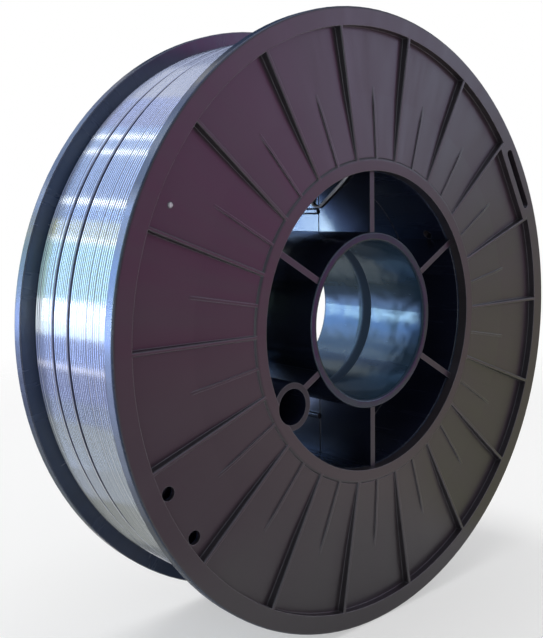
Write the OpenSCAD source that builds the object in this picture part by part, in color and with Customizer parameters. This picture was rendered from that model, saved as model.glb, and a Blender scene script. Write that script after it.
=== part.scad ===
// Moulded plastic spool of the 200 mm class, wound full with bright welding wire.
// Two halves push together at mid-width: each has a ribbed flange, half of the barrel,
// six spokes, a drive boss and half of the bore tube.
// Millimetres. The origin is the centre of the spindle bore at mid-width. The axis lies
// along Y with the front flange at -Y, Z is up, and angles turn from +X towards +Z.

/* [Overall] */
// Width over the faces of both flanges
spool_w = 55; // [52:0.5:60]
// Place along the axis of the joint between the two halves
joint_y = -1.5; // [-2:0.5:2]
// Radius of both flanges
flange_r = 100; // [99:0.5:106]

/* [Flange] */
// Full thickness of a flange, at its rim and at its ribs
flange_t = 4; // [3.8:0.1:5]
// Width of the flat rim band, inwards from the edge
rim_band_w = 5.9; // [5:0.1:7]
// Rounding of the rim's outer edge
rim_round = 0.8; // [0.3:0.1:1.2]
// Depth of the web below the face beside the rim
web_rim_depth = 2.4; // [1.6:0.1:2.4]
// Depth of the web below the face beside the hub ring
web_hub_depth = 0.6; // [0.6:0.1:1.2]
// Depth of the web below the face at the line where its slope changes
web_bend_depth = 1.8; // [1.2:0.1:2.2]
// Distance from the hub ring out to that line
web_bend_len = 20.5; // [10:0.5:26]
// Number of long ribs, and of short ribs between them
rib_count = 18; // [12:6:24]
// Thickness of a long rib at its top
rib_t = 1.2; // [0.8:0.1:1.8]
// Thickness that a rib gains on each side at its foot
rib_draft = 0.2; // [0.1:0.05:0.4]
// Thickness of a short rib at its top
short_rib_t = 0.8; // [0.6:0.1:1.4]
// Height of a short rib above the web
short_rib_h = 0.5; // [0.2:0.1:0.6]
// Length of a short rib, outwards from the hub ring
short_rib_len = 23; // [12:1:29]
// Length over which a short rib's end slopes down into the web
short_rib_slope_len = 6; // [2:0.5:8]

/* [Rim slot] */
// Length of the slot that takes the wire's outer end
slot_len = 25.2; // [16:0.2:26]
// Width of the slot
slot_w = 3.4; // [2.6:0.1:4]
// Distance from the flange's edge in to the middle of the slot
slot_inset = 5.7; // [4.2:0.1:6]
// Angle of the slot round the flange
slot_angle = 30; // [30:20:50]
// Thickness of the straight wall inside the slot
slot_wall_t = 2.6; // [1.6:0.1:3.2]

/* [Anchor holes] */
// Diameter of the two wire anchor holes
anchor_d = 4; // [2:0.1:4.6]
// Distance from the flange's edge in to the middle of an anchor hole
anchor_inset = 8.9; // [8.5:0.1:14]
// Angle half way between the two holes
anchor_angle = 210.6; // [205:0.2:215]
// Angle between the two holes
anchor_step = 10.4; // [9:0.1:11]

/* [Gate mark] */
// Diameter of the stub left where the plastic entered the mould
gate_d = 1.8; // [1:0.1:3]
// Height of the stub above the web
gate_h = 0.5; // [0.2:0.1:0.6]
// Distance from the flange's edge in to the stub
gate_inset = 11.4; // [8:0.2:16]
// Angle of the stub
gate_angle = 154.6; // [152:0.2:158]

/* [Drive hole] */
// Diameter of the drive hole
drive_d = 11; // [10:0.1:12]
// Distance from the axis to the drive hole
drive_r = 44.5; // [42:0.1:46]
// Angle of the drive hole
drive_angle = 210; // [210:60:270]
// Wall of the boss round the drive hole
drive_wall = 1.8; // [1.4:0.1:2.4]
// How far the drive hole reaches into the barrel's wall
drive_bite = 1.3; // [0.6:0.1:1.3]

/* [Hub ring and barrel] */
// Width of the raised ring on the flange's face
hub_ring_w = 4.3; // [3.4:0.1:5]
// Rounding of the ring's outer edge
hub_ring_round = 1; // [0.3:0.1:1.2]
// Wall of the barrel that the wire is wound on
barrel_t = 2.7; // [2.4:0.1:3.4]
// Length of the lap between the two half barrels
barrel_lap = 5; // [3:0.5:8]

/* [Bore tube] */
// Radius of the spindle bore
bore_r = 26; // [25.3:0.1:26.5]
// Wall of the bore tube
tube_t = 2.8; // [2.4:0.1:3.4]
// Depth of the front tube's end below the flange's face
front_tube_recess = 1.8; // [1:0.1:2.6]
// Depth of the rear tube's end below the flange's face
rear_tube_recess = 4.6; // [1:0.1:6]
// Rounding of the bore's mouth
mouth_round = 1; // [0.2:0.1:1.6]
// Length of the lap between the two half tubes
tube_lap = 9; // [7:0.5:12]
// Width of the shallow lead-in behind the joint inside the bore
lead_in_w = 5.6; // [2:0.2:6]
// Depth of the lead-in at the joint
lead_in_depth = 0.5; // [0.2:0.1:0.6]

/* [Spokes] */
// Number of spokes between the bore tube and the barrel
spoke_count = 6; // [6:6:12]
// Angle of the first spoke
spoke_angle = 30; // [30:1:30]
// Thickness of a spoke
spoke_t = 2; // [1.4:0.1:2.6]
// Depth of a spoke's outer edge below the tube's end
spoke_drop = 0.6; // [0.2:0.1:1.6]
// Distance from the barrel's inner wall in to the guide ridges on the rear spokes
guide_inset = 12.9; // [12.7:0.1:15]
// Width of a guide ridge at its top
guide_w = 1.1; // [0.6:0.1:1.6]
// Width that a guide ridge gains on each side at its foot
guide_draft = 0.5; // [0.1:0.1:0.6]
// Height of a guide ridge above the spoke
guide_h = 0.8; // [0.4:0.1:1.2]
// Length of a guide ridge
guide_len = 12; // [6:0.5:18]

/* [Wire] */
// Diameter of the wire
wire_d = 1; // [0.8:0.1:1.2]
// Depth of the full winding below the flange's edge
winding_inset = 4.6; // [4.4:0.1:4.8]
// Turns of the outer layer
turns = 24; // [12:1:24]
// Extra width of each of the two open gaps between turns
open_gap = 1.2; // [0.4:0.1:1.4]
// Place of the first open gap along the axis
first_gap_y = 2.8; // [-6:0.1:5]
// Place of the second open gap along the axis
second_gap_y = 11.6; // [9:0.1:16]
// Inner radius of the bend at each end of the outer layer
end_bend = 1.4; // [1.2:0.1:2]

/* [Wire start] */
// Diameter of the two start holes in the front half of the barrel
start_hole_d = 3.4; // [2.4:0.1:3.6]
// Place of the start holes along the axis
start_hole_y = -16; // [-19:0.5:-10]
// Gap between a spoke's side and the start hole beside it
start_hole_gap = 0.2; // [0.2:0.1:1.2]

/* [Clearances] */
// Radial clearance in the laps of the two halves
lap_clear = 0.1; // [0.05:0.05:0.2]
// Gap between the two halves where they face each other
joint_gap = 0.3; // [0.1:0.1:0.6]
// Clearance between the winding and what it lies against
winding_clear = 0.1; // [0.05:0.05:0.3]

/* [Hidden] */
$fn = 96;

plastic = [0.23, 0.23, 0.25];
wire_metal = [0.76, 0.80, 0.86];

face_z = spool_w / 2;                 // outer face of a flange, from mid-width
inner_z = face_z - flange_t;          // inner face of a flange
rim_in_r = flange_r - rim_band_w;
slot_r = flange_r - slot_inset;
anchor_r = flange_r - anchor_inset;
gate_r = flange_r - gate_inset;
winding_r = flange_r - winding_inset;
hub_r = drive_r + drive_d / 2 - drive_bite;  // inner radius of the barrel and the hub ring
hub_ring_r = hub_r + hub_ring_w;
web_bend_r = hub_ring_r + web_bend_len;
short_rib_end_r = hub_ring_r + short_rib_len;
guide_r = hub_r - guide_inset;
barrel_r = hub_r + barrel_t;
barrel_lap_r = hub_r + barrel_t / 2;  // the half barrels lap at mid-wall
tube_r = bore_r + tube_t;
tube_lap_r = bore_r + tube_t / 2;
front_tube_end_z = face_z - front_tube_recess;
rear_tube_end_z = face_z - rear_tube_recess;
front_joint_z = -joint_y;               // the joint, measured towards each half's own flange
rear_joint_z = joint_y;
half_gap = joint_gap / 2;
drive_boss_r = drive_d / 2 + drive_wall;
start_hole_step = asin((spoke_t / 2 + start_hole_gap + start_hole_d / 2) / hub_r);
edge_chamfer = 0.25;
bite = 1;                             // how far a shape reaches into its neighbour before a cut

// Turns of the outer layer: a loop has 24 rings of 6 sides.
loop_rings = 24;
turn_r = winding_r - wire_d / 2;
turn_sag = turn_r * (1 - cos(180 / loop_rings));
layer_r = turn_r - turn_sag - wire_d / 2 - winding_clear;
first_turn_y = -(inner_z - winding_clear - wire_d / 2);
last_turn_y = -first_turn_y;
turn_pitch = (last_turn_y - first_turn_y - 2 * open_gap) / turns;
bend_r = end_bend + wire_d / 2;
bend_steps = 4;
pocket_r = wire_d / 2 + bend_r / 3 + winding_clear;
pocket_floor_r = turn_r - bend_r - wire_d;
free_end_y = face_z - edge_chamfer;

// Route of the wire's start, beside the top spoke: through the start hole, inwards and
// back along the spoke, and up in a small hook past the joint of the halves.
// A bend point is X from the spoke's side, Y from the hole and depth below the barrel's wall.
tail_x = -(spoke_t / 2 + wire_d / 2 + winding_clear);
tail_a = spoke_angle + 60 + start_hole_step;
tail_bends = [[-0.9, 0.2, 1.1], [-0.5, 1.2, 2.4]];
// A hook point is Y and depth.
tail_hook = [[-3.4, 10.7], [-2.4, 11.3], [-1.4, 11.4], [0, 11.1], [0.9, 10.6], [1.1, 9.7], [0.9, 8.4]];

// ---- Helpers ----

// A piece drawn with its axis on Z, turned so that its +Z end is the front or the rear.
module front_side() { rotate([90, 0, 0]) children(); }
module rear_side() { mirror([0, 1, 0]) rotate([90, 0, 0]) children(); }

function arc(centre, r, from, to, steps = 5) =
    [for (i = [0:steps]) let (a = from + (to - from) * i / steps) centre + r * [cos(a), sin(a)]];

module at_angle(angle, r) { rotate([0, 0, angle]) translate([r, 0, 0]) children(); }

// A ring with a plain rectangular section.
module ring(r_in, r_out, z_low, z_high) {
    rotate_extrude() translate([r_in, z_low]) square([r_out - r_in, z_high - z_low]);
}

// One tube with flat ends, swept along a list of points.
function unit(v) = v / norm(v);
function heading(route, i) = let (last = len(route) - 1)
    i == 0 ? unit(route[1] - route[0])
    : i == last ? unit(route[last] - route[last - 1])
    : unit(unit(route[i + 1] - route[i]) + unit(route[i] - route[i - 1]));
function carried_side(side, dir) = unit(side - (side * dir) * dir);
// The side vector is carried along the route, so the tube doesn't twist.
function sides_along(route, first_side) = [
    for (i = 0, s = carried_side(first_side, heading(route, 0)); i < len(route);
         i = i + 1, s = i < len(route) ? carried_side(s, heading(route, i)) : s) s];

module tube(route, d, sides, first_side) {
    count = len(route);
    side_vectors = sides_along(route, first_side);
    rings = [for (i = [0:count - 1])
        let (s = side_vectors[i], t = cross(heading(route, i), s))
        for (k = [0:sides - 1]) let (a = 360 * k / sides)
            route[i] + d / 2 * (cos(a) * s + sin(a) * t)];
    walls = [for (i = [0:count - 2], k = [0:sides - 1])
        let (a = i * sides + k, b = i * sides + (k + 1) % sides)
        each [[a, a + sides, b], [b, a + sides, b + sides]]];
    start_cap = [for (k = [1:sides - 2]) [0, k, k + 1]];
    last = (count - 1) * sides;
    end_cap = [for (k = [1:sides - 2]) [last, last + k + 1, last + k]];
    polyhedron(rings, concat(walls, start_cap, end_cap));
}

// ---- Flange: rim, web, ribs and the raised ring round the recess ----

// Height of the web's outer side: two shallow cones, the inner one a little steeper.
function web_z(r) = face_z - (r < web_bend_r
    ? web_hub_depth + (web_bend_depth - web_hub_depth) * (r - hub_ring_r) / web_bend_len
    : web_bend_depth
        + (web_rim_depth - web_bend_depth) * (r - web_bend_r) / (rim_in_r - web_bend_r));

// Section of the turned part, as radius and height, with the inner face flat.
function flange_section() = concat(
    [[hub_r, inner_z], [flange_r - edge_chamfer, inner_z], [flange_r, inner_z + edge_chamfer]],
    arc([flange_r - rim_round, face_z - rim_round], rim_round, 0, 90),
    [[rim_in_r, face_z]],
    [for (r = [rim_in_r, web_bend_r, hub_ring_r]) [r, web_z(r)]],
    arc([hub_ring_r - hub_ring_round, face_z - hub_ring_round], hub_ring_round, 0, 90),
    [[hub_r, face_z]]
);

// A rib lies along a radius, with drafted sides and broken top edges.
module long_rib() {
    foot = rib_t / 2 + rib_draft;
    top = rib_t / 2;
    length = rim_in_r - hub_ring_r + 2 * bite;
    translate([hub_ring_r - bite, 0, 0]) rotate([90, 0, 90]) linear_extrude(length)
        polygon([[-foot, inner_z + bite], [foot, inner_z + bite], [top, face_z - edge_chamfer],
                 [top - edge_chamfer, face_z], [edge_chamfer - top, face_z],
                 [-top, face_z - edge_chamfer]]);
}

// A short rib follows the web from the hub ring, and slopes down into it at its end.
module short_rib() {
    slope_r = short_rib_end_r - short_rib_slope_len;
    translate([0, short_rib_t / 2, 0]) rotate([90, 0, 0]) linear_extrude(short_rib_t)
        polygon([[hub_ring_r - bite, inner_z + bite], [short_rib_end_r, inner_z + bite],
                 [short_rib_end_r, web_z(short_rib_end_r)],
                 [slope_r, web_z(slope_r) + short_rib_h],
                 [hub_ring_r - bite, web_z(hub_ring_r) + short_rib_h]]);
}

module slot_shape(z_low, height) {
    reach = slot_len / 2 - slot_w / 2;
    translate([-slot_w / 2, -reach, z_low]) cube([slot_w, 2 * reach, height]);
    for (side = [-1, 1])
        translate([0, side * reach, z_low]) cylinder(d = slot_w, h = height);
}

module slot_wall() {
    wall_r = slot_r - slot_w / 2 - slot_wall_t;
    half_len = wall_r * tan(180 / rib_count);
    translate([wall_r, -half_len, inner_z + bite])
        cube([slot_wall_t + bite, 2 * half_len, flange_t - bite]);
}

module drive_hole() {
    at_angle(drive_angle, drive_r)
        translate([0, 0, -face_z]) cylinder(d = drive_d, h = spool_w + bite);
}

// The stub stands on the web and narrows to half its width.
module gate_mark() {
    foot_z = web_z(gate_r);
    at_angle(gate_angle, gate_r) rotate_extrude()
        polygon([[0, inner_z + bite], [gate_d / 2, inner_z + bite], [gate_d / 2, foot_z],
                 [gate_d / 4, foot_z + gate_h], [0, foot_z + gate_h]]);
}

module flange() {
    difference() {
        union() {
            rotate_extrude() polygon(flange_section());
            for (i = [0:rib_count - 1]) {
                rotate([0, 0, i * 360 / rib_count]) long_rib();
                rotate([0, 0, (i + 0.5) * 360 / rib_count]) short_rib();
            }
            rotate([0, 0, slot_angle]) slot_wall();
            gate_mark();
        }
        at_angle(slot_angle, slot_r) slot_shape(inner_z - bite, flange_t + 2 * bite);
        for (side = [-1, 1])
            at_angle(anchor_angle + side * anchor_step / 2, anchor_r)
                translate([0, 0, inner_z - bite]) cylinder(d = anchor_d, h = flange_t + 2 * bite);
        drive_hole();
    }
}

// ---- Barrel halves with the drive boss ----

// The boss stands in the recess, against the barrel's wall, and ends flush with the face.
module drive_boss(joint_z) {
    intersection() {
        at_angle(drive_angle, drive_r) translate([0, 0, joint_z + half_gap])
            cylinder(r = drive_boss_r, h = face_z - joint_z - half_gap);
        translate([0, 0, joint_z]) union() {
            cylinder(r = barrel_lap_r - lap_clear, h = inner_z - joint_z);
            cylinder(r = hub_r, h = face_z - joint_z);
        }
    }
}

// Radial holes beside two spokes, which let the wire's start into the recess.
module start_holes() {
    for (spoke = [0, 1])
        rotate([0, 0, spoke_angle + spoke * 60 + start_hole_step])
            translate([hub_r - barrel_t, 0, -start_hole_y]) rotate([0, 90, 0])
                cylinder(d = start_hole_d, h = 3 * barrel_t);
}

module front_half_barrel() {
    difference() {
        union() {
            ring(hub_r, barrel_r, front_joint_z + half_gap, inner_z);
            ring(barrel_lap_r, barrel_r, front_joint_z - barrel_lap, inner_z);
            drive_boss(front_joint_z);
        }
        start_holes();
        drive_hole();
    }
}

module rear_half_barrel() {
    difference() {
        union() {
            ring(hub_r, barrel_r, rear_joint_z + barrel_lap + joint_gap, inner_z);
            ring(hub_r, barrel_lap_r - lap_clear, rear_joint_z + half_gap, inner_z);
            drive_boss(rear_joint_z);
        }
        drive_hole();
    }
}

// ---- Spokes ----

// A guide ridge stands on both sides of a spoke, with drafted sides.
module guide_ridge() {
    top = guide_w / 2;
    foot = top + guide_draft;
    linear_extrude(guide_len) for (side = [-1, 1])
        polygon([[guide_r - foot, 0], [guide_r - foot, side * spoke_t / 2],
                 [guide_r - top, side * (spoke_t / 2 + guide_h)],
                 [guide_r + top, side * (spoke_t / 2 + guide_h)],
                 [guide_r + foot, side * spoke_t / 2], [guide_r + foot, 0]]);
}

module spokes(joint_z, tube_end_z, ridges) {
    start_z = joint_z + half_gap;
    spoke_end_z = tube_end_z - spoke_drop;
    difference() {
        intersection() {
            for (i = [0:spoke_count - 1])
                rotate([0, 0, spoke_angle + i * 360 / spoke_count]) translate([0, 0, start_z]) {
                    translate([tube_r - bite, -spoke_t / 2, 0])
                        cube([hub_r - tube_r + 2 * bite, spoke_t, spoke_end_z - start_z]);
                    if (ridges) guide_ridge();
                }
            ring(tube_r, hub_r, start_z, face_z);
        }
        at_angle(drive_angle, drive_r) translate([0, 0, joint_z])
            cylinder(r = drive_boss_r, h = face_z - joint_z);
    }
}

// ---- Bore tube halves ----

// Section of a half tube, from its inner end to its rounded mouth.
function tube_section(wall_start, tube_end_z) = concat(
    [[bore_r, wall_start], [tube_r, wall_start],
     [tube_r, tube_end_z - edge_chamfer], [tube_r - edge_chamfer, tube_end_z]],
    arc([bore_r + mouth_round, tube_end_z - mouth_round], mouth_round, 90, 180)
);

module front_half_tube() {
    rotate_extrude() polygon(tube_section(front_joint_z, front_tube_end_z));
    ring(tube_lap_r, tube_r, front_joint_z - tube_lap, front_joint_z + bite);
}

// The inner tongue widens towards the joint, so a spindle can't catch on it.
module rear_half_tube() {
    tongue_z = rear_joint_z + joint_gap;
    tongue_r = tube_lap_r - lap_clear;
    wall_z = tongue_z + tube_lap;
    rotate_extrude() {
        polygon(tube_section(wall_z, rear_tube_end_z));
        polygon([[bore_r + lead_in_depth, tongue_z], [tongue_r, tongue_z], [tongue_r, wall_z + bite],
                 [bore_r, wall_z + bite], [bore_r, tongue_z + lead_in_w]]);
    }
}

// ---- Wire ----

// How far a gap has opened at turn t: it opens over an eighth of a turn.
function opened(t, at) = open_gap * min(1, max(0, (t - at) * 8));
first_gap_turn = round((first_gap_y - first_turn_y - open_gap / 2) / turn_pitch);
second_gap_turn = round((second_gap_y - first_turn_y - open_gap * 3 / 2) / turn_pitch);
function turn_y(t) = first_turn_y + turn_pitch * t + opened(t, first_gap_turn)
    + opened(t, second_gap_turn);

function on_spool(r, angle, y) = [r * cos(angle), y, r * sin(angle)];
function along(angle) = [-sin(angle), 0, cos(angle)];
function outward(angle) = [cos(angle), 0, sin(angle)];

// Up out of the layers below, round into the first turn.
start_bend = let (corner = on_spool(turn_r - bend_r, slot_angle, first_turn_y)) concat(
    [corner - wire_d * outward(slot_angle)],
    [for (i = [0:bend_steps - 1]) let (a = 90 * i / bend_steps)
        corner + bend_r * (sin(a) * outward(slot_angle) + (1 - cos(a)) * along(slot_angle))]
);
// Round out of the last turn, and straight through the slot of the rear flange.
end_bend_points = let (corner = on_spool(turn_r, slot_angle, last_turn_y)) concat(
    [for (i = [1:bend_steps]) let (a = 90 * i / bend_steps)
        corner + bend_r * (sin(a) * along(slot_angle) + [0, 1 - cos(a), 0])],
    [[corner.x - bend_r * sin(slot_angle), free_end_y, corner.z + bend_r * cos(slot_angle)]]
);
turn_points = [for (i = [1:turns * loop_rings])
    on_spool(turn_r, slot_angle + 360 * i / loop_rings, turn_y(i / loop_rings))];
layer_route = concat(start_bend, turn_points, end_bend_points);

// Distance from a point to the stretch between two others.
function stretch_gap(p, a, b) =
    let (ab = b - a, t = min(1, max(0, (p - a) * ab / (ab * ab)))) norm(p - a - t * ab);
// The least gap is looked for between each point and the turns on either side of it.
self_gap = min([for (i = [0:len(layer_route) - 1], j = [i + loop_rings / 2:i + 2 * loop_rings])
    if (j < len(layer_route) - 1)
        stretch_gap(layer_route[i], layer_route[j], layer_route[j + 1])]) - wire_d;

module outer_layer() {
    echo(least_gap_of_outer_layer_mm = self_gap);
    tube(layer_route, wire_d, 6, [0, 1, 0]);
}

// The layers below, as one body, with a pocket where the wire comes up into the last one.
module inner_layers() {
    width = 2 * (inner_z - winding_clear);
    difference() {
        translate([0, 0, -width / 2])
            ring(barrel_r + winding_clear, layer_r, 0, width);
        rotate([0, 0, slot_angle])
            translate([pocket_floor_r, bend_r / 4, -first_turn_y]) rotate([0, 90, 0])
                cylinder(r = pocket_r, h = 2 * bend_r + wire_d);
    }
}

tail_route = concat(
    [for (r = [barrel_r + winding_clear, hub_r]) on_spool(r, tail_a, start_hole_y)],
    [for (p = tail_bends) [tail_x + p.x, start_hole_y + p.y, hub_r - p.z]],
    [for (p = tail_hook) [tail_x, p[0], hub_r - p[1]]]
);

// ---- Named pieces ----

module front_flange() { color(plastic) front_side() flange(); }
module front_barrel() { color(plastic) front_side() front_half_barrel(); }
module front_spokes() {
    color(plastic) front_side() spokes(front_joint_z, front_tube_end_z, ridges = false);
}
module front_bore_tube() { color(plastic) front_side() front_half_tube(); }
module rear_flange() { color(plastic) rear_side() flange(); }
module rear_barrel() { color(plastic) rear_side() rear_half_barrel(); }
module rear_spokes() {
    color(plastic) rear_side() spokes(rear_joint_z, rear_tube_end_z, ridges = true);
}
module rear_bore_tube() { color(plastic) rear_side() rear_half_tube(); }
module wire_inner_layers() { color(wire_metal) front_side() inner_layers(); }
module wire_outer_layer() { color(wire_metal) outer_layer(); }
module wire_start_tail() { color(wire_metal) tube(tail_route, wire_d, 8, [0, 1, 0]); }

front_flange();
front_barrel();
front_spokes();
front_bore_tube();
rear_flange();
rear_barrel();
rear_spokes();
rear_bore_tube();
wire_inner_layers();
wire_outer_layer();
wire_start_tail();
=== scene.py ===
# Welding wire spool of the 200 mm class: a black moulded spool in two halves, wound full
# with 1 mm bright wire. It stands on the rims of its flanges on a pale floor.
# Metres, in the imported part's frame: the spool's axis lies along Y with the front flange
# at -Y, Z is up, and angles round the axis turn from +X towards +Z.

import math
import bpy
import numpy as np
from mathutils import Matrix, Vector


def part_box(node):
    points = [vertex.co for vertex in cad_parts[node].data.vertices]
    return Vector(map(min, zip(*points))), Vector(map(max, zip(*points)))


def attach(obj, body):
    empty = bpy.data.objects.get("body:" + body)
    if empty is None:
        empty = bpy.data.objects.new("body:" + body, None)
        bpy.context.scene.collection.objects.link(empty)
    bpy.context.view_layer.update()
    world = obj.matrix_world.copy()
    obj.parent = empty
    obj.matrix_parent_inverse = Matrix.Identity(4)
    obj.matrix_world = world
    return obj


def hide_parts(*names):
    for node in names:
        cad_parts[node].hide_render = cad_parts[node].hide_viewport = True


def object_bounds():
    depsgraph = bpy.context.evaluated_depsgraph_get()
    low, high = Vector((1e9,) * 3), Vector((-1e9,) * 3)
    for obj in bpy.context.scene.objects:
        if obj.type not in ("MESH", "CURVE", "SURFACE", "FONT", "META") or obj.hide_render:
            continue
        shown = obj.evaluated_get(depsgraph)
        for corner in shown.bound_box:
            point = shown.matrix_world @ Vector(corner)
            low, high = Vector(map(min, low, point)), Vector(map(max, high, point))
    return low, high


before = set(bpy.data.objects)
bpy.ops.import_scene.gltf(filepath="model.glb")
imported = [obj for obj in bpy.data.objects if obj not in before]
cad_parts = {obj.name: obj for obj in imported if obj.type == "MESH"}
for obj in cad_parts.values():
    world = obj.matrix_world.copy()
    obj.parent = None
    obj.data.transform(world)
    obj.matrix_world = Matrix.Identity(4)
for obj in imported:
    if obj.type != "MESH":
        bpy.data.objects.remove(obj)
cad_low, cad_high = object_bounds()


# ---------------------------------------------------------------------------
# Camera
# A camera held 0.3 m from the spool, to its front left and a little above its axis.
# Headings, here and below, turn from +Y towards +X.
# ---------------------------------------------------------------------------

camera_place = Vector((-0.21215, -0.21238, 0.03658))
camera_heading = math.radians(41.873)
camera_pitch = math.radians(-3.687)
camera_roll = math.radians(-0.606)        # the right side of the frame a little down
camera_lens = 48.63                       # millimetres
camera_sensor = 36.0                      # millimetres, along the frame's longer side
camera_shift_up = -0.0847
camera_near = 0.01

camera = bpy.data.objects.new("camera", bpy.data.cameras.new("camera"))
bpy.context.scene.collection.objects.link(camera)
camera.location = camera_place
camera.rotation_euler = (math.pi / 2 + camera_pitch, 0, -camera_heading)
camera.rotation_euler.rotate_axis("Z", camera_roll)
camera.data.sensor_width = camera_sensor
camera.data.sensor_fit = "AUTO"
camera.data.lens = camera_lens
camera.data.shift_y = camera_shift_up
camera.data.clip_start = camera_near
bpy.context.scene.camera = camera
bpy.context.scene.view_settings.view_transform = "Standard"


# ---------------------------------------------------------------------------
# Floor
# A round pale matt sheet that the rims stand on. It fades out to the white background, and
# the camera sees some plain white in it, so that it stays pale beside the spool's shadow.
# ---------------------------------------------------------------------------

floor_colour = (0.92, 0.92, 0.92, 1)
floor_roughness = 0.7
floor_shine = 0.2
floor_reach = 0.62                        # radius at which the sheet has faded out
floor_solid = 0.30                        # radius inside which it is whole
floor_glow = 0.45                         # share of plain white that the camera sees in it
white = (1, 1, 1, 1)


def place(tree, kind, inputs=(), **settings):
    """Adds a node, sets its properties, and sets or links its inputs."""
    node = tree.nodes.new("ShaderNode" + kind)
    for name, value in settings.items():
        setattr(node, name, value)
    for key, value in dict(inputs).items():
        if isinstance(value, bpy.types.NodeSocket):
            tree.links.new(value, node.inputs[key])
        else:
            node.inputs[key].default_value = value
    return node


def new_material(name):
    """An empty node material and its node tree."""
    material = bpy.data.materials.new(name)
    material.use_nodes = True
    material.node_tree.nodes.clear()
    return material, material.node_tree


def mesh_object(name, vertices, faces, material):
    """A smooth mesh object with one material."""
    mesh = bpy.data.meshes.new(name)
    mesh.from_pydata(vertices, [], faces)
    mesh.update()
    mesh.polygons.foreach_set("use_smooth", [True] * len(mesh.polygons))
    mesh.materials.append(material)
    thing = bpy.data.objects.new(name, mesh)
    bpy.context.scene.collection.objects.link(thing)
    return thing


def floor_material():
    material, tree = new_material("pale_floor")
    where = place(tree, "TexCoord").outputs["Object"]
    reach = place(tree, "VectorMath", {0: where}, operation="LENGTH").outputs["Value"]
    fade = place(tree, "MapRange", {"Value": reach, "From Min": floor_solid, "From Max": floor_reach},
                 interpolation_type="SMOOTHSTEP").outputs["Result"]
    sheet = place(tree, "BsdfPrincipled", {"Base Color": floor_colour, "Roughness": floor_roughness,
                                           "Specular IOR Level": floor_shine})
    ray = place(tree, "LightPath").outputs["Is Camera Ray"]
    seen = place(tree, "Math", {0: ray, 1: floor_glow}, operation="MULTIPLY").outputs[0]
    glow = place(tree, "Emission", {"Color": white, "Strength": 1.0})
    lit = place(tree, "MixShader", {0: seen, 1: sheet.outputs[0], 2: glow.outputs[0]})
    gone = place(tree, "BsdfTransparent")
    mixed = place(tree, "MixShader", {0: fade, 1: lit.outputs[0], 2: gone.outputs[0]})
    place(tree, "OutputMaterial", {"Surface": mixed.outputs[0]})
    return material


def disc(name, radius, height, material, sides=96):
    corners = [(radius * math.cos(a), radius * math.sin(a), height)
               for a in np.linspace(0, 2 * math.pi, sides, endpoint=False)]
    return mesh_object(name, corners, [list(range(sides))], material)


floor = disc("floor", floor_reach, cad_low.z, floor_material())


# ---------------------------------------------------------------------------
# Room and lamp
# A white room with one strip lamp hung over the spool. The camera and the reflections see
# the room white. Matt surfaces get a little over half of it, and the lamp does the rest.
# ---------------------------------------------------------------------------

world_fill = 0.55                         # what the room adds to matt surfaces
lamp_height = 80                          # degrees above the horizon, on the side of +Y
lamp_away = 1.0
lamp_half_spread = (10, 30)               # degrees that half of it spans, across and along
lamp_level = 5.0                          # its brightness, where the room's white is 1


def studio_world():
    world = bpy.data.worlds.new("white_room")
    world.use_nodes = True
    tree = world.node_tree
    tree.nodes.clear()
    ray = place(tree, "LightPath")
    seen = place(tree, "Math", {0: ray.outputs["Is Camera Ray"], 1: ray.outputs["Is Glossy Ray"]},
                 operation="MAXIMUM").outputs[0]
    seen = place(tree, "Math", {0: seen, 1: ray.outputs["Is Transmission Ray"]},
                 operation="MAXIMUM").outputs[0]
    fill = place(tree, "Background", {"Color": white, "Strength": world_fill})
    room = place(tree, "Background", {"Color": white, "Strength": 1.0})
    mixed = place(tree, "MixShader", {0: seen, 1: fill.outputs[0], 2: room.outputs[0]})
    place(tree, "OutputWorld", {"Surface": mixed.outputs[0]})
    bpy.context.scene.world = world


def toward(heading, height):
    """Direction at a heading and a height above the horizon, both in degrees."""
    a, e = math.radians(heading), math.radians(height)
    return Vector((math.sin(a) * math.cos(e), math.cos(a) * math.cos(e), math.sin(e)))


def overhead_lamp():
    """A strip lamp that lights the floor and the matt surfaces, and shows in no reflection."""
    light = bpy.data.lights.new("overhead_strip", "AREA")
    light.shape = "RECTANGLE"
    light.size, light.size_y = (2 * lamp_away * math.tan(math.radians(a)) for a in lamp_half_spread)
    light.energy = lamp_level * math.pi * light.size * light.size_y
    lamp = bpy.data.objects.new("overhead_strip", light)
    bpy.context.scene.collection.objects.link(lamp)
    lamp.location = lamp_away * toward(0, lamp_height)
    lamp.rotation_euler = (-toward(0, lamp_height)).to_track_quat("-Z", "Y").to_euler()
    lamp.visible_camera = False
    lamp.visible_glossy = False


studio_world()
overhead_lamp()


# ---------------------------------------------------------------------------
# Window, wall and table
# What the bright winding and the left side of the rims mirror: a wall, a tall cool window
# in it with a curtain and bright bars, and the table below. Only reflections show them.
# ---------------------------------------------------------------------------

winding_r = 0.0954                        # radius over the outer layer of the wire
table_lift = 0.0004                       # how far the table lies above the floor
window_step = 0.0002                      # the curtain's lift above the table, and the window's
                                          # above the curtain
wall_away, curtain_away, window_away, bar_away = 0.87, 0.86, 0.85, 0.83
wall_headings = (-150, 15)
bar_headings = (-75, -10)
bar_colour = (0.95, 1.0, 1.0)
band_steps = (2, 5)                       # degrees, widest steps in a band's angle and heading

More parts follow.
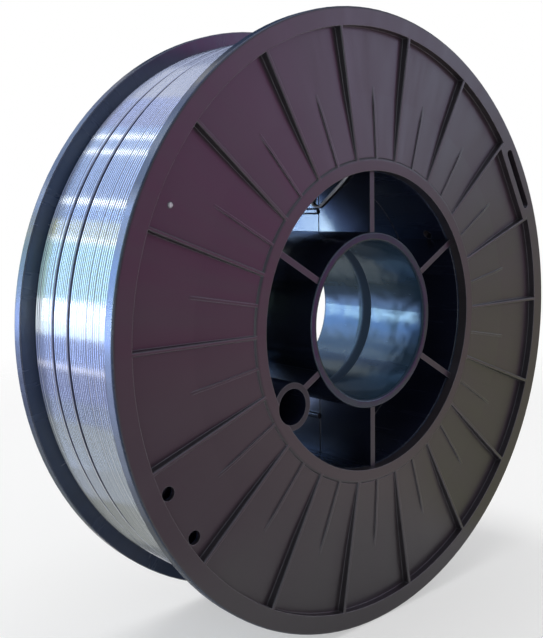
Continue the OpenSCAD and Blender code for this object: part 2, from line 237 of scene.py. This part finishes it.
# From the top down: the angles of the winding that mirror it, the wall's colour, the
# curtain's headings and colour, and the open window's headings and colour.
wall_bands = (
    ((133.0, 140.5), (0.23, 0.25, 0.38), (-48, -15), (1.15, 1.33, 2.1), (-15, 12), (0.5, 0.6, 0.95)),
    ((140.5, 155.8), (0.20, 0.25, 0.40), (-60, -27), (1.2, 1.63, 2.55), (-27, 8), (0.75, 1.0, 1.6)),
    ((155.8, 159.2), (0.28, 0.34, 0.52), (-80, 5), (0.53, 0.74, 1.10), (-32, -20), (3.0, 4.6, 8.9)),
    ((159.2, 162.6), (0.35, 0.42, 0.46), (-80, 5), (1.16, 1.18, 0.65), (-45, -28), (2.6, 3.8, 6.9)),
    ((162.6, 173.0), (0.30, 0.45, 0.50), (-80, 5), (1.06, 1.52, 1.32), (-45, -28), (2.2, 3.7, 7.7)),
    ((173.0, 179.0), (1.15, 1.25, 1.30), (-50, -38), (2.7, 4.1, 5.7), (-38, -26), (4.2, 6.2, 13.5)),
)
# The bars: angle and width on the winding, and brightness.
bars = ((142.7, 0.9, 4.4), (146.0, 0.9, 4.4), (155.8, 1.0, 4.8), (162.6, 0.8, 3.6))
# One small pane glares. It makes the bright patch on the flank of the top spoke.
core_angles, core_headings, core_colour = (173.0, 176.6), (-46.3, -42.3), (36, 45, 51)
# The table from its far side to the near one, with what its polish shows of curtain and window.
table_bands = (
    ((179.0, 183.9), (0.25, 0.31, 0.54), (-75, -8), (0.48, 0.58, 0.98), (-40, -28), (2.6, 3.4, 6.0)),
    ((183.9, 184.7), (1.00, 0.98, 1.10), (-75, -8), (1.1, 1.1, 1.3), (-40, -28), (2.6, 3.2, 5.0)),
    ((184.7, 190.0), (0.22, 0.25, 0.41), (-75, -8), (0.34, 0.38, 0.60), (-40, -28), (2.2, 2.6, 4.2)),
    ((190.0, 194.0), (0.22, 0.25, 0.34), (-75, -8), (0.30, 0.34, 0.46), (-40, -26), (2.0, 2.4, 3.5)),
    ((194.0, 203.0), (0.34, 0.37, 0.38), (-75, -8), (0.45, 0.49, 0.52), (-38, -22), (1.3, 1.5, 2.0)),
    ((203.0, 210.0), (0.37, 0.40, 0.41), (-75, -8), (0.45, 0.48, 0.50), (-38, -20), (0.7, 0.75, 0.9)),
    ((210.0, 222.0), (0.36, 0.37, 0.345), None, None, None, None),
    ((222.0, 240.0), (0.22, 0.23, 0.23), None, None, None, None),
)


def steps_between(low, high, size):
    """Values from low to high in equal steps, none wider than size."""
    return np.linspace(low, high, max(2, math.ceil(abs(high - low) / size) + 1))


def glowing_sheet(name, corners, rows, columns, colour):
    """A sheet on a grid of corners that shows only in reflections."""
    material, tree = new_material(name)
    glow = place(tree, "Emission", {"Color": (*colour, 1), "Strength": 1.0})
    place(tree, "OutputMaterial", {"Surface": glow.outputs[0]})
    faces = [(r * columns + c, r * columns + c + 1, (r + 1) * columns + c + 1, (r + 1) * columns + c)
             for r in range(rows - 1) for c in range(columns - 1)]
    sheet = mesh_object(name, corners, faces, material)
    sheet.visible_camera = False
    sheet.visible_diffuse = False
    sheet.visible_shadow = False


def mirrored_point(angle, heading, away, lift):
    """The point along a heading that the camera sees mirrored by the winding at an angle round the
    spool. It is so far away, or where its ray meets the table if away is None."""
    a, h = math.radians(angle), math.radians(heading)
    spot = winding_r * Vector((math.cos(a), 0, math.sin(a)))
    along = Vector((-math.sin(a), 0, math.cos(a)))
    ahead = (camera_place - spot).normalized().dot(along)
    across, up = along.x * math.sin(h), along.z
    e = math.atan2(up, across) + math.acos(max(-1, min(1, -ahead / math.hypot(across, up))))
    ray = toward(heading, math.degrees(e))
    if away is None:
        away = (cad_low.z + table_lift + lift - spot.z) / ray.z
    return spot + away * ray


def band(name, angles, headings, away, colour, lift=0):
    """A stretch of window, wall or table that shows as an even band across the winding."""
    around, across = steps_between(*angles, band_steps[0]), steps_between(*headings, band_steps[1])
    corners = [mirrored_point(angle, h, away, lift) for angle in around for h in across]
    glowing_sheet(name, corners, len(around), len(across), colour)


for number, (angles, wall, wide, curtain, narrow, window) in enumerate(wall_bands):
    band(f"wall_{number}", angles, wall_headings, wall_away, wall)
    band(f"curtain_{number}", angles, wide, curtain_away, curtain)
    band(f"window_{number}", angles, narrow, window_away, window)
for number, (angle, width, level) in enumerate(bars):
    band(f"bar_{number}", (angle - width / 2, angle + width / 2), bar_headings, bar_away,
         [level * c for c in bar_colour])
band("window_core", core_angles, core_headings, bar_away, core_colour)
for number, (angles, table, wide, curtain, narrow, window) in enumerate(table_bands):
    band(f"table_{number}", angles, wall_headings, None, table)
    if wide is not None:
        band(f"table_curtain_{number}", angles, wide, None, curtain, window_step)
        band(f"table_window_{number}", angles, narrow, None, window, 2 * window_step)


# ---------------------------------------------------------------------------
# Cards
# Curved cards stand round the spool and flat ones lie round it on the floor. Only
# reflections show them. They give the satin flanges their plum, grey and olive tones.
# ---------------------------------------------------------------------------

card_away = 1.3
card_step = 8                             # degrees, the widest step in a card's mesh
foot_reach = 0.105                        # the flat cards begin just outside the rims

# Name, headings, heights above the horizon and colour.
standing_cards = (
    ("ceiling_card", (-180, 180), (62, 89), (0.62, 0.68, 0.92)),
    ("back_right_card", (15, 95), (-8, 62), (0.02, 0.03, 0.06)),
    ("front_far_left_card", (162, 210), (-8, 6), (0.32, 0.15, 0.27)),
    ("front_far_left_top_card", (162, 210), (6, 26), (0.14, 0.14, 0.22)),
    ("front_left_card", (136, 162), (-8, 6), (0.86, 0.18, 0.62)),
    ("front_left_top_card", (136, 162), (6, 26), (0.92, 0.34, 0.80)),
    ("front_middle_card", (125, 136), (-8, 6), (0.56, 0.42, 0.53)),
    ("front_middle_top_card", (125, 136), (6, 26), (1.78, 1.85, 2.50)),
    ("front_right_card", (95, 125), (-8, 6), (0.40, 0.45, 0.32)),
    ("front_right_top_card", (95, 125), (6, 26), (0.80, 0.90, 1.04)),
    ("front_high_card", (95, 210), (26, 62), (0.50, 0.53, 0.68)),
)
# Name, headings, near and far radius, colour, and lift above the floor.
flat_cards = (
    ("back_right_table", (15, 95), (foot_reach, 1.3), (0.03, 0.04, 0.07), table_lift),
    ("front_far_left_table", (162, 210), (foot_reach, 1.3), (0.45, 0.31, 0.41), table_lift / 2),
    ("front_left_near_table", (127, 162), (foot_reach, 0.42), (0.75, 0.66, 0.66), table_lift / 2),
    ("front_left_far_table", (127, 162), (0.42, 1.3), (0.78, 0.30, 0.58), table_lift / 2),
    ("front_right_table", (95, 127), (foot_reach, 1.3), (0.47, 0.49, 0.32), table_lift / 2),
)


def standing_card(name, headings, heights, colour):
    across, up = steps_between(*headings, card_step), steps_between(*heights, card_step)
    corners = [card_away * toward(a, e) for e in up for a in across]
    glowing_sheet(name, corners, len(up), len(across), colour)


def flat_card(name, headings, reach, colour, lift):
    across = steps_between(*headings, card_step)
    corners = [(r * math.sin(math.radians(a)), r * math.cos(math.radians(a)), cad_low.z + lift)
               for r in reach for a in across]
    glowing_sheet(name, corners, len(reach), len(across), colour)


for row in standing_cards:
    standing_card(*row)
for row in flat_cards:
    flat_card(*row)


# ---------------------------------------------------------------------------
# Flanges
# The ribbed outer wall of each half of the spool, in one injection moulding of black
# styrene with barrel, spokes and bore tube. The mould left its outer face satin, and
# polished its rim and its inner face; the navy of these is painted blue reflection. The
# edges are lighter, part wear and part painted highlight. A short stub shows where the gate
# was cut off, with a painted glint on its top.
# ---------------------------------------------------------------------------

face_colour = (0.0150, 0.0120, 0.0150, 1)
# Navy of the polished inner face and the rim's edge: painted reflection, the window's blue cast put into
# the colour.
inside_painted_blue_colour = (0.010, 0.020, 0.046, 1)
# Lighter colour of the broken edges: part wear, part painted highlight of the light their rounding catches.
edge_wear_and_highlight_colour = (0.19, 0.19, 0.22, 1)
# A painted highlight: the pale spot that stands for the glint on the gate stub.
painted_gate_glint_colour = (0.50, 0.50, 0.55, 1)
styrene_ior = 1.55
satin_gloss = 0.36                                 # roughness of what the mould left satin
matt_gloss = 0.9
polished_rim = (0.0975, 0.0985)                    # radii over which satin turns to polish
end_facing = (0.60, 0.95)                          # how far a satin end faces along the axis
edge_round = 0.00035                               # how far the edges are broken, and how wide their lighter band of wear and painted highlight is
flange_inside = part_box("front_flange")[1].y        # inner face of the front flange, at -Y
gate_r, gate_angle = 0.0886, math.radians(154.6)
gate_place = (gate_r * math.cos(gate_angle), 0, gate_r * math.sin(gate_angle))
painted_gate_glint_edge = (0.0005, 0.0009)                       # where the painted glint on the stub fades out


def new_group(name, inputs, outputs):
    """An empty shader node group with float inputs and the given outputs."""
    tree = bpy.data.node_groups.new(name, "ShaderNodeTree")
    for label, value in inputs.items():
        socket = tree.interface.new_socket(label, in_out="INPUT", socket_type="NodeSocketFloat")
        socket.default_value = value
    for label, kind in outputs.items():
        tree.interface.new_socket(label, in_out="OUTPUT", socket_type=kind)
    return tree, tree.nodes.new("NodeGroupInput").outputs, tree.nodes.new("NodeGroupOutput").inputs


def maths(tree, operation, first, second=0.0, third=0.0):
    return place(tree, "Math", {0: first, 1: second, 2: third}, operation=operation).outputs[0]


def noise(tree, vector, scale, detail=3.0, roughness=0.5):
    return place(tree, "TexNoise", {"Vector": vector, "Scale": scale, "Detail": detail,
                                    "Roughness": roughness}).outputs["Fac"]


def between(tree, value, low, high):
    """0 below low, 1 above high, and a smooth change from one to the other."""
    return place(tree, "MapRange", {"Value": value, "From Min": low, "From Max": high},
                 interpolation_type="SMOOTHSTEP").outputs[0]


def blend_value(tree, share, first, second):
    return place(tree, "Mix", {"Factor": share, 2: first, 3: second}, data_type="FLOAT").outputs[0]


def blend_colour(tree, share, first, second):
    return place(tree, "Mix", {"Factor": share, 6: first, 7: second}, data_type="RGBA").outputs[2]


def off_axis(tree):
    """Where the surface lies off the spool's axis, without its place along the axis."""
    where = place(tree, "TexCoord").outputs["Object"]
    return place(tree, "VectorMath", {0: where, 1: (1, 0, 1)}, operation="MULTIPLY").outputs[0]


def radius(tree):
    return place(tree, "VectorMath", {0: off_axis(tree)}, operation="LENGTH").outputs["Value"]


flow_scale = 25
flow_pull = 14                                     # how straight the flow marks run outwards
grain_scale = 2600.0
grain_height = 0.012                               # beside waves of height 1
scuff_scale = (30, 300, 900)
scuff_lean = (0.4, 0.9, 0.3)
scuff_from, scuff_full = 0.60, 0.72                # the peaks of the noise that are scuffs
scuff_depth = 0.01
skin_relief = 0.0002                               # metres for a height of 1
edge_wear_and_highlight_turn = (0.01, 0.20)                         # 1 less the cosine of the rounding at an edge lightened by wear and painted highlight
edge_wear_and_highlight_share = 0.8
flow_lightening = 1.7                              # of the colour in the palest flow marks
dulling_reach = 0.25                               # how much roughness the marks may add


def moulded_skin():
    """Flow marks that run out from the hub, slow waves of sink, fine grain, small scuffs, and
    lighter edges, part wear and part painted highlight."""
    tree, given, made = new_group(
        "moulded_skin",
        {"Flow": 1.0, "Waves": 1.0, "Wave scale": 60.0, "Grain": 1.0, "Scuffs": 1.0},
        {"Tone": "NodeSocketFloat", "Dulling": "NodeSocketFloat", "Edge": "NodeSocketFloat",
         "Normal": "NodeSocketVector"})
    where = place(tree, "TexCoord").outputs["Object"]
    outward = place(tree, "VectorMath", {0: off_axis(tree)}, operation="NORMALIZE").outputs[0]
    pull = place(tree, "VectorMath", {0: outward, 1: [flow_pull] * 3}, operation="MULTIPLY").outputs[0]
    swirl = place(tree, "VectorMath", {0: where, 1: [flow_scale] * 3, 2: pull},
                  operation="MULTIPLY_ADD").outputs[0]
    flow = noise(tree, swirl, 1.0, 4.0, 0.6)
    waves = noise(tree, where, given["Wave scale"], 1.0)
    grain = noise(tree, where, grain_scale, 2.0)
    long_way = place(tree, "Mapping", {"Vector": where, "Rotation": scuff_lean,
                                       "Scale": scuff_scale}).outputs[0]
    scuff = noise(tree, long_way, 1.0, 5.0, 0.7)
    scuff = place(tree, "MapRange", {"Value": scuff, "From Min": scuff_from,
                                     "From Max": scuff_full}).outputs[0]
    scuff = maths(tree, "MULTIPLY", scuff, given["Scuffs"])
    tone = maths(tree, "MULTIPLY", flow, given["Flow"])
    tree.links.new(maths(tree, "MULTIPLY_ADD", scuff, 0.5, tone), made["Tone"])
    dull = maths(tree, "MULTIPLY", maths(tree, "SUBTRACT", flow, 0.5), given["Flow"])
    tree.links.new(maths(tree, "MULTIPLY_ADD", scuff, 0.6, dull), made["Dulling"])
    height = maths(tree, "MULTIPLY", waves, given["Waves"])
    grain = maths(tree, "MULTIPLY", grain, given["Grain"])
    height = maths(tree, "MULTIPLY_ADD", grain, grain_height, height)
    height = maths(tree, "MULTIPLY_ADD", scuff, -scuff_depth, height)
    sharp = place(tree, "NewGeometry").outputs["Normal"]
    rounded = place(tree, "Bevel", {"Radius": edge_round}, samples=4).outputs[0]
    alike = place(tree, "VectorMath", {0: sharp, 1: rounded}, operation="DOT_PRODUCT").outputs["Value"]
    turned_by = maths(tree, "SUBTRACT", 1.0, alike)
    tree.links.new(between(tree, turned_by, *edge_wear_and_highlight_turn), made["Edge"])
    tree.links.new(place(tree, "Bump", {"Height": height, "Strength": 1.0, "Distance": skin_relief,
                                        "Normal": rounded}).outputs[0], made["Normal"])
    return tree


def end_share(tree):
    """Faces that point along the axis, which the mould's flat inserts left satin."""
    facing = place(tree, "SeparateXYZ", {0: place(tree, "NewGeometry").outputs["Normal"]}).outputs["Y"]
    return between(tree, maths(tree, "ABSOLUTE", facing), *end_facing)


def outside_share(tree):
    """What lies 0.3 to 0.7 mm or more further out along the axis than the flanges' inner faces."""
    y = place(tree, "SeparateXYZ", {0: place(tree, "TexCoord").outputs["Object"]}).outputs["Y"]
    return between(tree, maths(tree, "ABSOLUTE", y), 0.0003 - flange_inside, 0.0007 - flange_inside)


def face_share(tree):
    """Of a flange, all that the outer face shows: the rim and the inner face are polished."""
    inside_rim = maths(tree, "SUBTRACT", 1.0, between(tree, radius(tree), *polished_rim))
    return maths(tree, "MULTIPLY", outside_share(tree), maths(tree, "MAXIMUM", end_share(tree), inside_rim))


def painted_gate_glint_share(tree):
    """A painted highlight: the pale spot that stands for the glint on the top of the stub that the mould's
    gate left on each flange.
    """
    away = place(tree, "VectorMath", {0: off_axis(tree), 1: gate_place},
                 operation="DISTANCE").outputs["Value"]
    near = maths(tree, "SUBTRACT", 1.0, between(tree, away, *painted_gate_glint_edge))
    return maths(tree, "MULTIPLY", near, outside_share(tree))


skin = moulded_skin()


def plastic_material(name, colour, gloss, special, special_gloss, special_colour, flow=1.0, waves=0.6,
                     wave_scale=60.0, grain=1.0, scuffs=0.2, matt=None, shine=0.7, painted_reflection_tint=(1, 1, 1)):
    """Black moulded plastic. Gloss is its roughness where the mould is clean. The special share of
    the surface, worked out by a function, has a gloss and colour of its own. A tint that is not
    white paints the window's blue into the reflections."""
    material, tree = new_material(name)
    marks = place(tree, "Group", node_tree=skin)
    for socket, value in {"Flow": flow, "Waves": waves, "Wave scale": wave_scale, "Grain": grain,
                          "Scuffs": scuffs}.items():
        marks.inputs[socket].default_value = value
    share = special(tree)
    base = blend_colour(tree, share, colour, special_colour)
    lighter = place(tree, "Mix", {"Factor": 1.0, 6: base, 7: [flow_lightening] * 3 + [1]},
                    data_type="RGBA", blend_type="MULTIPLY").outputs[2]
    shade = blend_colour(tree, marks.outputs["Tone"], base, lighter)
    # The edges are lightened: part wear, part painted highlight.
    edge_wear_and_highlight = maths(tree, "MULTIPLY", marks.outputs["Edge"], edge_wear_and_highlight_share)
    shade = blend_colour(tree, edge_wear_and_highlight, shade, edge_wear_and_highlight_colour)
    # Paints the glint on the gate stub.
    shade = blend_colour(tree, painted_gate_glint_share(tree), shade, painted_gate_glint_colour)
    roughness = maths(tree, "MULTIPLY_ADD", marks.outputs["Dulling"], dulling_reach,
                      blend_value(tree, share, gloss, special_gloss))
    if matt:
        roughness = blend_value(tree, matt(tree), roughness, matt_gloss)
    # The tint paints the window's blue into the reflections.
    shader = place(tree, "BsdfPrincipled", {
        "Base Color": shade, "Roughness": roughness, "Normal": marks.outputs["Normal"],
        "IOR": styrene_ior, "Specular IOR Level": shine, "Specular Tint": (*painted_reflection_tint, 1)})
    place(tree, "OutputMaterial", {"Surface": shader.outputs[0]})
    return material


def finish_halves(piece, material):
    """Gives one piece of both halves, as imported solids, its finish."""
    for half in ("front", "rear"):
        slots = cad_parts[f"{half}_{piece}"].data.materials
        slots.clear()
        slots.append(material)


# The inner face and the rim's edge take the painted blue reflection; the outer face keeps the plastic's own
# colour.
finish_halves("flange", plastic_material(
    "satin_black_plastic", inside_painted_blue_colour, 0.25, face_share, satin_gloss, face_colour, scuffs=0.05))


# ---------------------------------------------------------------------------
# Barrels
# The wall round the hub that the wire is wound on, half of it on each moulding, with the
# boss for the drive pin. Its inside is near black and shines little: painted shade of the
# deep recess, with a painted blue tint in its reflections. Its ends are satin.
# ---------------------------------------------------------------------------

# Near black of the barrel's inside, the spokes' flanks and the bore tube's ends and outside: painted shade
# of the deep recess.
painted_recess_shade_colour = (0.004, 0.005, 0.012, 1)
barrel_end_colour = (0.040, 0.034, 0.038, 1)

finish_halves("barrel", plastic_material(
    "recess_shaded_black_plastic", painted_recess_shade_colour, 0.25, end_share, satin_gloss, barrel_end_colour,
    shine=0.11, painted_reflection_tint=(0.4, 0.6, 1.0)))


# ---------------------------------------------------------------------------
# Spokes
# Six thin walls that carry the bore tube in the barrel. Their flanks are polished, with the
# near black of painted recess shade and a painted blue tint in their reflections, and their
# outer edges are satin like the flange.
# ---------------------------------------------------------------------------

finish_halves("spokes", plastic_material(
    "polished_black_plastic", painted_recess_shade_colour, 0.20, end_share, satin_gloss, face_colour,
    flow=0.5, grain=0.0, painted_reflection_tint=(0.85, 0.93, 1.0)))


# ---------------------------------------------------------------------------
# Bore tubes
# The tube that turns on the feeder's spindle, half of it on each moulding. Its bore is
# polished and a little wavy, with a matt groove round it where the two halves meet. The
# bore's teal is painted reflection, the window's blue cast, and the tube's ends and outside
# take the near black of painted recess shade.
# ---------------------------------------------------------------------------

# Teal of the bore: painted reflection, the window's blue cast put into the colour.
bore_painted_blue_colour = (0.008, 0.020, 0.036, 1)
bore_edge = (0.02605, 0.02620)                     # radii over which the bore's polish ends
groove_edge = (0.0269, 0.0271)                     # and over which its groove does


def tube_share(tree):
    """Of the bore tube, all but the polished bore: its ends, its outside and the joint's groove."""
    return maths(tree, "MAXIMUM", end_share(tree), between(tree, radius(tree), *bore_edge))


def groove_share(tree):
    """The matt groove at the joint inside the bore."""
    r = radius(tree)
    inside = maths(tree, "SUBTRACT", between(tree, r, *bore_edge), between(tree, r, *groove_edge))
    return maths(tree, "MULTIPLY", inside, maths(tree, "SUBTRACT", 1.0, end_share(tree)))


finish_halves("bore_tube", plastic_material(
    "polished_bore_plastic", bore_painted_blue_colour, 0.24, tube_share, 0.22, painted_recess_shade_colour,
    flow=0.6, waves=1.4, wave_scale=150.0, matt=groove_share, painted_reflection_tint=(0.60, 0.84, 1.0)))


# ---------------------------------------------------------------------------
# Winding
# One length of 1 mm bright drawn wire, layer on layer, each turn beside the last. The
# outer layer has open gaps between some turns, through which the layer below shows.
# ---------------------------------------------------------------------------

wire_d = 0.001
wire_colour = (0.78, 0.81, 0.86, 1)
wire_sides = 10
turns = 41
turn_steps = 176                                   # points on the wire's route in each turn
lay_clear = 0.0001
slot_angle = math.radians(30)
turn_r = winding_r - wire_d / 2
first_turn_y = flange_inside + lay_clear + wire_d / 2
end_bend = 0.0019                                  # radius of the bend into the slot
free_end_short = 0.00025                           # how far the wire's end stops below the face
step_over = 0.12                                   # share of a turn in which the wire steps over
stray_y, stray_r = 0.000010, 0.00004               # how far the wire wanders from its place

# Where the turns stand apart: place along the axis, width, and the angle round which a
# gap is open, or None where it is open all the way round. One with an angle opens there
# by its whole width, and shuts towards the other side of the spool.
gap_mean, gap_swing = 0.2, 0.9
open_gaps = (
    (-0.0140, 0.00030, None),
    (-0.0102, 0.00030, None),
    (-0.0068, 0.00032, None),
    (0.0028, 0.00180, None),
    (0.0116, 0.00180, None),
    (0.0147, 0.00045, 172),
    (0.0207, 0.00034, None),
)
gap_total = sum(width for _, width, _ in open_gaps)
turn_pitch = (-2 * first_turn_y - gap_total) / (turns - 1)

die_lines = (45, 9000, 45)                         # scale of the lines, much finer across the wire
line_relief = 0.00001
line_bump = 0.2
turn_tones = (14, 700, 14)                         # scale of the tones, which change per turn
dark_tone = 0.80                                   # the darkest tone, beside the wire's colour
marks_range = (0.6, 1.4)                           # lines and tones together, from clean to dull
across_wire = 0.25                                 # a quarter turn, so the shine spreads across


def drawn_wire():
    """Fine lines from the drawing die along the wire, and a small change of tone per turn."""
    tree, given, made = new_group(
        "drawn_wire", {"Lines": 1.0},
        {"Tone": "NodeSocketFloat", "Dulling": "NodeSocketFloat", "Height": "NodeSocketFloat"})
    where = place(tree, "TexCoord").outputs["Object"]
    along = place(tree, "Mapping", {"Vector": where, "Scale": die_lines}).outputs[0]
    lines = noise(tree, along, 1.0, 3.0)
    turn = place(tree, "Mapping", {"Vector": where, "Scale": turn_tones}).outputs[0]
    tone = noise(tree, turn, 1.0, 2.0)
    tree.links.new(tone, made["Tone"])
    tree.links.new(maths(tree, "MULTIPLY_ADD", lines, given["Lines"], tone), made["Dulling"])
    tree.links.new(maths(tree, "MULTIPLY", lines, given["Lines"]), made["Height"])
    return tree


drawn = drawn_wire()


def wire_material(name, colour, low_gloss, high_gloss, metal=1.0):
    """Drawn metal: the die's lines spread the shine across the wire and leave it sharp along it."""
    material, tree = new_material(name)
    marks = place(tree, "Group", node_tree=drawn)
    darker = tuple(dark_tone * c for c in colour[:3]) + (1,)
    shade = blend_colour(tree, marks.outputs["Tone"], darker, colour)
    roughness = place(tree, "MapRange", {
        "Value": marks.outputs["Dulling"], "From Min": marks_range[0], "From Max": marks_range[1],
        "To Min": low_gloss, "To Max": high_gloss}).outputs[0]
    bump = place(tree, "Bump", {"Height": marks.outputs["Height"], "Strength": line_bump,
                                "Distance": line_relief})
    round_axis = place(tree, "Tangent", direction_type="RADIAL", axis="Y")
    shader = place(tree, "BsdfPrincipled", {
        "Base Color": shade, "Roughness": roughness, "Normal": bump.outputs[0],
        "Metallic": metal, "Anisotropic": 1.0, "Anisotropic Rotation": across_wire,
        "Tangent": round_axis.outputs[0]})
    place(tree, "OutputMaterial", {"Surface": shader.outputs[0]})
    return material


def tube(name, route, diameter, sides, first_side, material):
    """One round tube with flat ends, swept along a list of points without twisting."""
    route = np.array(route, float)
    heading = np.gradient(route, axis=0)
    heading /= np.linalg.norm(heading, axis=1)[:, None]
    side = np.array(first_side, float)
    carried = np.empty_like(route)
    for i, ahead in enumerate(heading):
        side = side - side.dot(ahead) * ahead
        side /= np.linalg.norm(side)
        carried[i] = side
    across = np.cross(heading, carried)
    a = 2 * np.pi * np.arange(sides) / sides
    rings = route[:, None] + diameter / 2 * (
        np.cos(a)[None, :, None] * carried[:, None] + np.sin(a)[None, :, None] * across[:, None])
    vertices = rings.reshape(-1, 3)
    start = (np.arange(len(route) - 1) * sides)[:, None] + np.arange(sides)[None]
    beside = (np.arange(len(route) - 1) * sides)[:, None] + (np.arange(sides)[None] + 1) % sides
    walls = np.stack([start, beside, beside + sides, start + sides], axis=-1).reshape(-1, 4)
    last = (len(route) - 1) * sides
    faces = walls.tolist() + [list(range(sides))[::-1], list(range(last, last + sides))]
    return mesh_object(name, vertices.tolist(), faces, material)


def wander(t, per_turn, seed):
    """Slow random waves from -1 to 1 along the wire, with so many bends in each turn."""
    knots = np.random.default_rng(seed).uniform(-1, 1, (turns + 1) * per_turn + 2)
    at = t * per_turn
    knot = np.floor(at).astype(int)
    share = at - knot
    share = share * share * (3 - 2 * share)
    return knots[knot] * (1 - share) + knots[knot + 1] * share


def turn_places(t):
    """Place along the axis and radius of the wire's middle after t turns, counted from slot_angle.
    A turn lies straight round the spool, and then steps over to the next."""
    angle = slot_angle + 2 * np.pi * t
    laid = np.floor(t) + np.clip((t - np.floor(t) - 1 + step_over) / step_over, 0, 1)
    y = first_turn_y + turn_pitch * np.minimum(laid, turns - 1)
    done = 0.0
    for place_y, width, open_at in open_gaps:
        after = round((place_y - width / 2 - done - first_turn_y) / turn_pitch)
        share = 1.0
        if open_at is not None:
            share = np.clip(gap_mean + gap_swing * np.cos(angle - math.radians(open_at)), 0, 1)
        y = y + width * share * np.clip(laid - after, 0, 1)
        done += width
    y = y + stray_y * wander(t, per_turn=6, seed=3)
    r = turn_r - stray_r + stray_r * wander(t, per_turn=8, seed=4)
    return angle, y, r


def through_slot(corner, steps=6):
    """Round out of the last turn, and straight through the slot of the rear flange."""
    ahead = np.array((-math.sin(slot_angle), 0, math.cos(slot_angle)))
    rearward = np.array((0, 1, 0))
    bend = [corner + end_bend * (math.sin(a) * ahead + (1 - math.cos(a)) * rearward)
            for a in np.linspace(0, math.pi / 2, steps + 1)[1:]]
    free_end = bend[-1].copy()
    free_end[1] = cad_high.y - free_end_short
    return bend + [free_end]


def outer_layer_route():
    t = np.linspace(0, turns, turns * turn_steps + 1)
    angle, y, r = turn_places(t)
    laid = np.stack([r * np.cos(angle), y, r * np.sin(angle)], axis=1)
    return np.concatenate([laid, through_slot(laid[-1])])


bright_wire = wire_material("bright_drawn_wire", wire_colour, 0.15, 0.21)
outer = tube("outer_layer", outer_layer_route(), wire_d, wire_sides, (0, 1, 0), bright_wire)
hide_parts("wire_outer_layer")
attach(outer, "root")


# ---------------------------------------------------------------------------
# Layers below
# The turns under the outer layer lie in its hollows. Only their backs show, in the gaps.
# The sides of the layers stand back a little from the flanges.
# ---------------------------------------------------------------------------

below_turns = 45
below_r = turn_r - 0.87 * wire_d                   # a turn lies in the hollow of two others
below_clear = 0.0003
side_back = 0.0015
# A darker, purplish copy of the wire's colour: painted shade of the gaps between the turns.
below_painted_shade_colour = (0.36, 0.35, 0.44, 1)
core_in_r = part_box("front_barrel")[1].x + lay_clear


def below_section(points_per_turn=6):
    """Half section as radius and place along the axis: the backs of the turns, then the core."""
    section = []
    for i in range(below_turns):
        y = (i - (below_turns - 1) / 2) * wire_d
        for a in np.linspace(-90, 90, points_per_turn, endpoint=False):
            section.append((below_r - below_clear + wire_d / 2 * math.cos(math.radians(a)),
                            y + wire_d / 2 * math.sin(math.radians(a))))
    half = below_turns * wire_d / 2
    core_half = -flange_inside - side_back
    section += [(below_r - below_clear, half), (below_r - wire_d, half), (below_r - wire_d, core_half),
                (core_in_r, core_half), (core_in_r, -core_half), (below_r - wire_d, -core_half),
                (below_r - wire_d, -half)]
    return section


def turned(name, section, material, steps=192):
    """A closed section turned round the Y axis."""
    corners, faces, count = [], [], len(section)
    for step in range(steps):
        a = 2 * math.pi * step / steps
        corners += [(r * math.cos(a), y, r * math.sin(a)) for r, y in section]
        ahead = (step + 1) % steps
        faces += [(step * count + k, step * count + (k + 1) % count,
                   ahead * count + (k + 1) % count, ahead * count + k) for k in range(count)]
    return mesh_object(name, corners, faces, material)


# The layers below take a darker, rougher copy of the bright wire: painted shade in the gaps.
shaded_wire = wire_material("shaded_below_wire", below_painted_shade_colour, 0.35, 0.50)
below = turned("layers_below", below_section(), shaded_wire)
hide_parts("wire_inner_layers")
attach(below, "root")


# ---------------------------------------------------------------------------
# Wire start
# The inner end of the wire comes through a hole in the barrel beside the top spoke, runs
# back along the spoke and is bent over into a small hook.
# ---------------------------------------------------------------------------

start_angle = math.radians(93.41)
start_y = -0.016
# A paler copy of the wire's colour: painted light that brightens the start in the dark recess.
start_painted_light_colour = (0.86, 0.88, 0.92, 1)
start_sides = 16
hub_r = 0.0487                                     # inner wall of the barrel
# Points as X, Y and depth below the barrel's wall, in millimetres.
start_bends = (
    (-2.5, -15.8, 1.1), (-2.1, -14.8, 2.4), (-1.6, -3.4, 10.7), (-1.6, -2.4, 11.3), (-1.6, -1.4, 11.4),
    (-1.6, 0, 11.1), (-1.6, 0.9, 10.6), (-1.6, 1.1, 9.7), (-1.6, 0.9, 8.4))


def smooth_route(points, steps=8):
    """A smooth curve through the points."""
    p = np.array(points, float)
    p = np.vstack([2 * p[0] - p[1], p, 2 * p[-1] - p[-2]])
    route = []
    for a, b, c, d in zip(p, p[1:], p[2:], p[3:]):
        for t in np.linspace(0, 1, steps, endpoint=False):
            route.append(0.5 * (2 * b + (c - a) * t + (2 * a - 5 * b + 4 * c - d) * t ** 2
                                + (3 * b - a - 3 * c + d) * t ** 3))
    return route + [p[-2]]


def start_route():
    entry = [(r * math.cos(start_angle), start_y, r * math.sin(start_angle)) for r in (core_in_r, hub_r)]
    return entry + [(x / 1000, y / 1000, hub_r - depth / 1000) for x, y, depth in start_bends]


# A lighter copy of the wire, half metal and rough: painted light in the dark recess.
lit_start_wire = wire_material("lit_start_wire", start_painted_light_colour, 0.50, 0.60, metal=0.4)
start = tube("wire_start", smooth_route(start_route()), wire_d, start_sides, (0, 1, 0), lit_start_wire)
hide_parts("wire_start_tail")
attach(start, "root")
